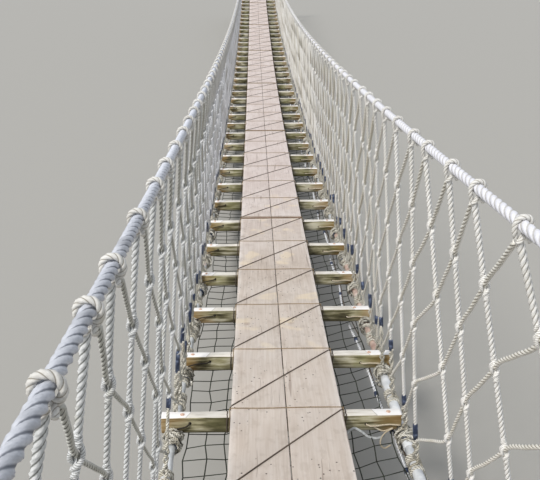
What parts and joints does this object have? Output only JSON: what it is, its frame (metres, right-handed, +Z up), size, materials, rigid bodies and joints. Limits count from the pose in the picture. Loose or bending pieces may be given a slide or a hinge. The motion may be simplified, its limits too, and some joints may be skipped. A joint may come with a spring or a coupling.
{
  "type": "rope suspension footbridge",
  "caption": "Narrow sagging footbridge: two boards on timber bearers carried by sleeved steel cables, with laid handrail ropes and rope side nets between timber end posts.",
  "frame": {"origin": "middle of the near sill's underside, at ground level", "axes": "+Y along the bridge from the near end to the far end, +X to the walker's right, +Z up"},
  "size_m": [1.759, 21.5094, 2.0172],
  "materials": {
    "bleached_boards": "bleached pale sawn softwood with dark specks, weathered matt",
    "weathered_bearers": "olive algae-tinted sawn timber with bleached top, rust-brown stains near the ends; its sleeves are light grey galvanised pipe",
    "end_timber": "grey-brown weathered squared timber",
    "laid_rope": "three-strand laid white rope, slightly greyed",
    "net_rope": "thin laid white and beige rope, knotted and taped near the foot",
    "netting_rope": "slack white edge rope with dark tape bands",
    "wire_rope": "stranded galvanised wire rope, dull grey",
    "stake_steel": "dull galvanised steel"
  },
  "bodies": {
    "root": {"near_end_sill": "end_timber", "near_left_post": "end_timber", "near_left_stake": "stake_steel", "near_right_post": "end_timber", "near_right_stake": "stake_steel", "far_end_sill": "end_timber", "far_left_post": "end_timber", "far_left_stake": "stake_steel", "far_right_post": "end_timber", "far_right_stake": "stake_steel", "left_handrail_rope": "laid_rope", "left_foot_cable": "wire_rope", "left_board_1": "bleached_boards", "left_board_2": "bleached_boards", "left_board_3": "bleached_boards", "left_board_4": "bleached_boards", "left_board_5": "bleached_boards", "left_board_6": "bleached_boards", "left_board_7": "bleached_boards", "left_board_8": "bleached_boards", "left_side_net_1": "net_rope", "left_side_net_2": "net_rope", "left_side_net_3": "net_rope", "left_side_net_4": "net_rope", "right_handrail_rope": "laid_rope", "right_foot_cable": "wire_rope", "right_board_1": "bleached_boards", "right_board_2": "bleached_boards", "right_board_3": "bleached_boards", "right_board_4": "bleached_boards", "right_board_5": "bleached_boards", "right_board_6": "bleached_boards", "right_board_7": "bleached_boards", "right_board_8": "bleached_boards", "right_side_net_1": "net_rope", "right_side_net_2": "net_rope", "right_side_net_3": "net_rope", "right_side_net_4": "net_rope", "deck_frame_1": "weathered_bearers", "deck_frame_2": "weathered_bearers", "deck_frame_3": "weathered_bearers", "deck_frame_4": "weathered_bearers", "deck_frame_5": "weathered_bearers", "deck_frame_6": "weathered_bearers", "deck_frame_7": "weathered_bearers", "deck_frame_8": "weathered_bearers", "right_netting_rope": "netting_rope"}
  },
  "joints": []
}
